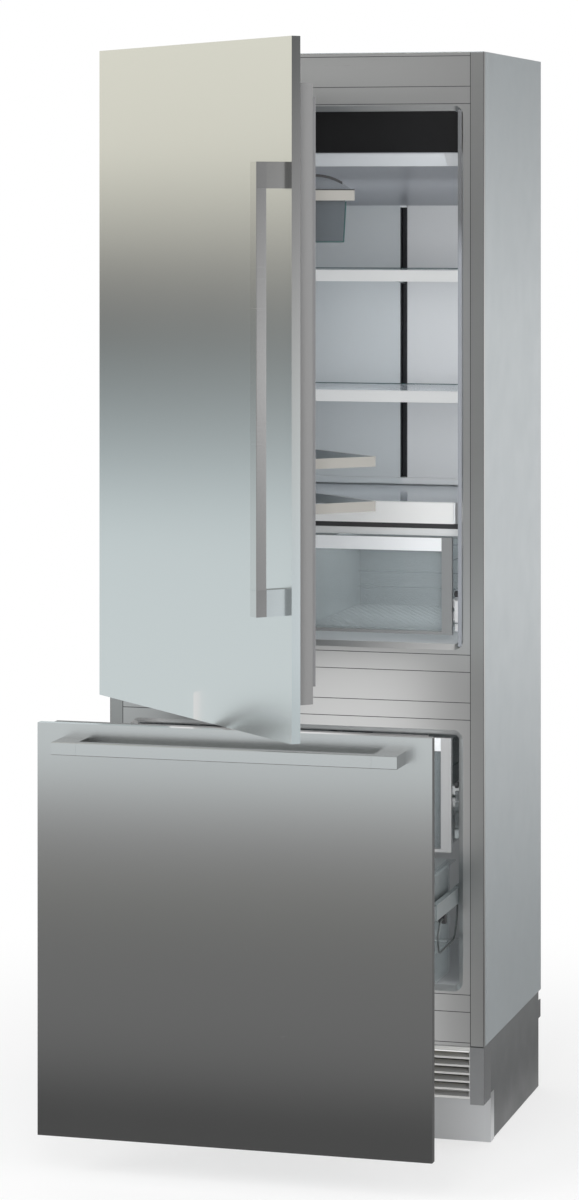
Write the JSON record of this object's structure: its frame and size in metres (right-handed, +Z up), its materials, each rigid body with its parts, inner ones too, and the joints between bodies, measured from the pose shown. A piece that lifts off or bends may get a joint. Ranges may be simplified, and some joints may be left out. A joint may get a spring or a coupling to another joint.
{
  "type": "bottom freezer refrigerator",
  "caption": "Tall built-in refrigerator with a hinged upper door, shelves and crisper, and a pull-out freezer drawer below; brushed steel fronts with bar handles.",
  "frame": {"origin": "bottom centre of the whole object's box in the stored pose, door open and drawer out", "axes": "+X to the right seen from the front, +Y towards the back, +Z up"},
  "size_m": [0.7634, 1.175, 2.1314],
  "materials": {
    "cabinet_paint": "blue-grey stoved enamel with a faint sheen",
    "galvanised": "zinc coated sheet",
    "foam": "rigid foam, cut surface",
    "face_steel": "satin stainless steel with upright grain",
    "kick_steel": "bright brushed stainless steel",
    "panel_steel": "brushed stainless steel with level grain",
    "handle_metal": "satin anodised",
    "liner_plastic": "smooth white liner",
    "casing_plastic": "light grey satin casing",
    "gasket_rubber": "soft grey seal",
    "cover_metal": "light brushed metal",
    "shelf_metal": "bright brushed trim",
    "pane_glass": "clear safety glass",
    "clear_plastic": "clear moulded plastic",
    "black_gloss": "glossy black",
    "black_plastic": "matt black",
    "lamp_plastic": "milky diffuser",
    "strip_plastic": "light grey strip",
    "slide_plastic": "white moulded runner",
    "rail_steel": "zinc plated steel",
    "hinge_steel": "forged steel",
    "base_paint": "dark grey paint",
    "compressor_paint": "black paint",
    "coil_aluminium": "bare finned metal",
    "fan_plastic": "black moulded plastic",
    "tray_plastic": "dark moulded plastic"
  },
  "bodies": {
    "cabinet": {"outer_wrap": "cabinet_paint", "back_panel": "galvanised", "insulation": "foam", "columns": "face_steel", "face_trims": "face_steel", "fridge_liner": "liner_plastic", "freezer_liner": "liner_plastic", "power_inlet": "black_plastic", "base_frame": "base_paint", "toe_kick": "kick_steel", "corner_brackets": "face_steel", "vent_grille": "face_steel", "levelling_feet": "black_plastic", "rear_brackets": "base_paint", "compressor": "compressor_paint", "condenser": "coil_aluminium", "drip_tray": "tray_plastic", "evaporator": "coil_aluminium", "freezer_back_wall": "cover_metal", "control_panel": "black_gloss", "duct_cover": "cover_metal", "light_diffuser": "lamp_plastic", "shelf_rails": "black_plastic", "shelf_glass": "pane_glass", "shelf_trims": "shelf_metal", "shelf_brackets": "rail_steel", "control_strip": "strip_plastic", "drawer_slides": "slide_plastic", "rail_outer": "rail_steel", "hinge_arms": "hinge_steel", "hinge_pins": "hinge_steel"},
    "crisper": {"crisper_front": "shelf_metal", "crisper_glass": "pane_glass", "crisper_tub": "clear_plastic"},
    "freezer_tray": {"freezer_tray_front": "shelf_metal", "freezer_tray_glass": "pane_glass", "freezer_tray_tub": "clear_plastic"},
    "door": {"door_panel": "panel_steel", "inner_door": "casing_plastic", "door_insulation": "foam", "door_liner": "liner_plastic", "door_gasket": "gasket_rubber", "hinge_bushes": "hinge_steel", "door_handle_bar": "handle_metal", "door_handle_ends": "handle_metal", "door_trays": "clear_plastic", "tray_rims": "shelf_metal", "dairy_box": "clear_plastic"},
    "lid": {"dairy_lid": "clear_plastic"},
    "freezer_drawer": {"drawer_panel": "panel_steel", "drawer_inner": "casing_plastic", "drawer_insulation": "foam", "drawer_gasket": "gasket_rubber", "drawer_handle_bar": "handle_metal", "drawer_handle_ends": "handle_metal", "freezer_tub": "clear_plastic", "rail_inner": "rail_steel"},
    "rail_middle": {"rail_middle": "rail_steel"},
    "evaporator_fan": {"evaporator_fan": "fan_plastic"},
    "condenser_fan": {"condenser_fan": "fan_plastic"}
  },
  "joints": [
    {"name": "fridge_door_hinge", "type": "hinge", "parent": "cabinet", "child": "door", "pos_m": [-0.36828, -0.01753, 1.495], "axis": [0, 0, -1], "range_deg": [-44.46, 60.54]},
    {"name": "freezer_drawer_slide", "type": "slide", "parent": "cabinet", "child": "freezer_drawer", "axis": [0, -1, 0], "range_m": [-0.36385, 0.06]},
    {"name": "middle_rail_slide", "type": "slide", "parent": "cabinet", "child": "rail_middle", "axis": [0, -1, 0], "range_m": [-0.18193, 0.03]},
    {"name": "crisper_slide", "type": "slide", "parent": "cabinet", "child": "crisper", "axis": [0, -1, 0], "range_m": [0, 0.04]},
    {"name": "freezer_tray_slide", "type": "slide", "parent": "cabinet", "child": "freezer_tray", "axis": [0, -1, 0], "range_m": [0, 0.33]},
    {"name": "dairy_lid_hinge", "type": "hinge", "parent": "door", "child": "lid", "pos_m": [-0.05517, -0.22672, 1.877], "axis": [0.7137, -0.7004, 0], "range_deg": [0, 65]},
    {"name": "evaporator_fan_spin", "type": "hinge", "parent": "cabinet", "child": "evaporator_fan", "pos_m": [0.00172, 0.49347, 0.7], "axis": [0, 1, 0], "continuous": true},
    {"name": "condenser_fan_spin", "type": "hinge", "parent": "cabinet", "child": "condenser_fan", "pos_m": [0.00172, 0.21147, 0.102], "axis": [0, 1, 0], "continuous": true}
  ],
  "couplings": [
    {"joint": "middle_rail_slide", "follows": "freezer_drawer_slide", "ratio": 0.5}
  ]
}
